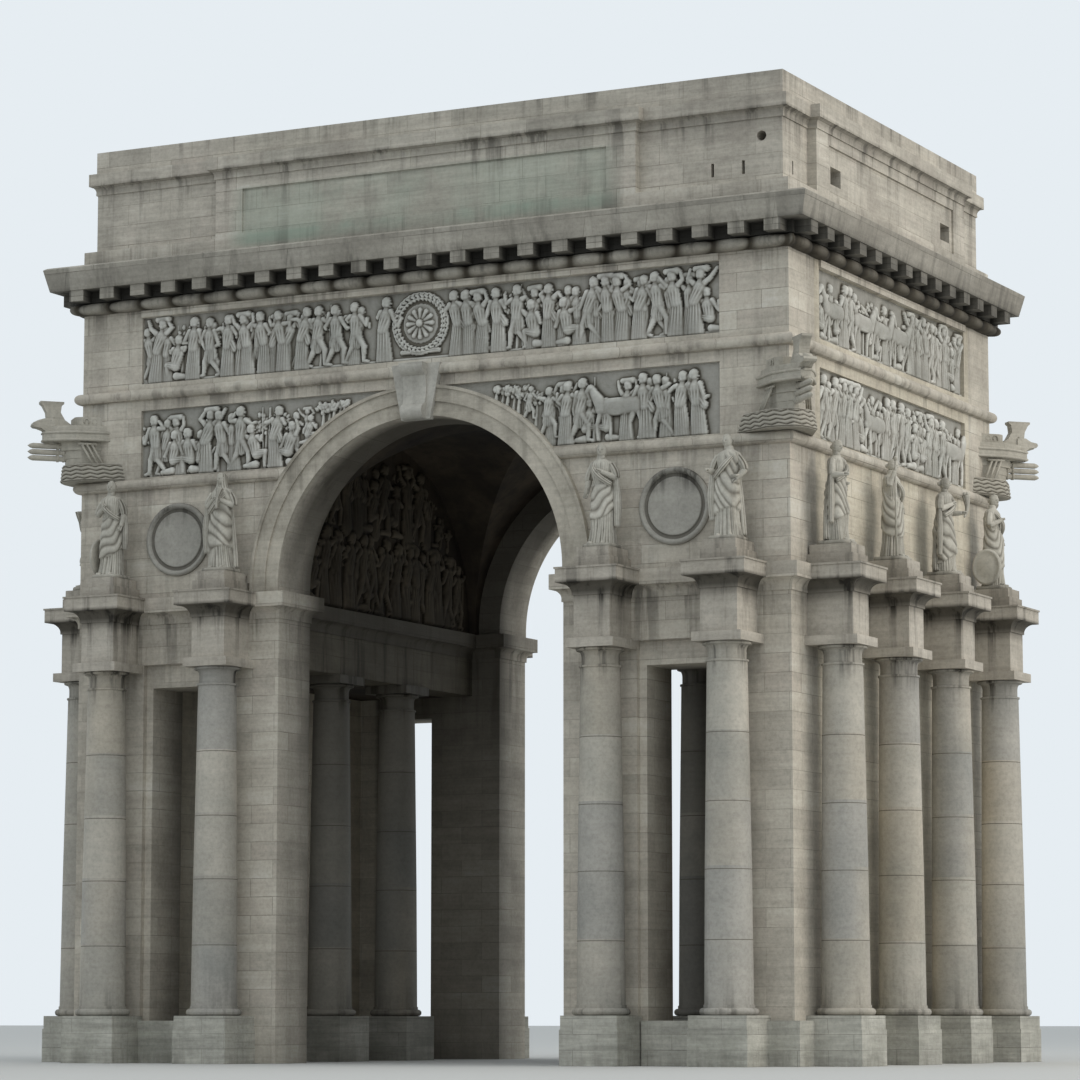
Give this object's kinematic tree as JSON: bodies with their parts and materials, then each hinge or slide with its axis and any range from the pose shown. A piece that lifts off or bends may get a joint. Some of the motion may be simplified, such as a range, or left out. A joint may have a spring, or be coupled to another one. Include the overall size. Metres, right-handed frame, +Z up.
{
  "type": "triumphal arch",
  "caption": "Four-sided stone triumphal arch with a vaulted passage, round columns with statues, relief panels, corner ship prows, a great bracketed cornice and a plain attic.",
  "frame": {"origin": "centre of the base at ground level", "axes": "+X to the right along the front face, +Y back through the archway, +Z up; the front looks along -Y"},
  "size_m": [26.2, 18.8, 26.88],
  "materials": {
    "front_travertine": "matte",
    "side_travertine": "matte",
    "column_marble": "matte",
    "pedestal_stone": "matte",
    "block_stone": "matte",
    "relief_stone": "matte",
    "statue_marble": "matte",
    "cornice_stone": "matte",
    "attic_stone": "matte",
    "vault_plaster": "matte",
    "roof_slab": "matte"
  },
  "bodies": {
    "root": {"aisle_ceilings": "vault_plaster", "arch_piers": "front_travertine", "archivolts": "front_travertine", "attic_cornice": "attic_stone", "attic_parapet": "attic_stone", "attic_plinth": "attic_stone", "attic_walls": "attic_stone", "back_columns": "column_marble", "back_entablature_blocks": "block_stone", "back_pedestals": "pedestal_stone", "back_spandrels": "front_travertine", "back_statues": "statue_marble", "back_wall": "front_travertine", "corner_piers": "front_travertine", "cornice_roll": "cornice_stone", "corona": "cornice_stone", "door_lintels": "front_travertine", "frieze_bars": "front_travertine", "front_columns": "column_marble", "front_entablature_blocks": "block_stone", "front_pedestals": "pedestal_stone", "front_spandrels": "front_travertine", "front_statues": "statue_marble", "front_wall": "front_travertine", "keystones": "front_travertine", "lower_friezes": "relief_stone", "lower_string_course": "front_travertine", "lunette_walls": "vault_plaster", "modillion_course": "cornice_stone", "passage_columns": "column_marble", "passage_entablatures": "block_stone", "passage_pedestals": "pedestal_stone", "passage_vault": "vault_plaster", "pylon_bases": "pedestal_stone", "roof": "roof_slab", "rostra": "statue_marble", "roundels": "relief_stone", "side_columns": "column_marble", "side_entablature_blocks": "block_stone", "side_pedestals": "pedestal_stone", "side_statues": "statue_marble", "side_walls": "side_travertine", "statue_plinths": "block_stone", "upper_friezes": "relief_stone", "upper_string_course": "front_travertine", "wall_cornices": "front_travertine"}
  },
  "joints": []
}
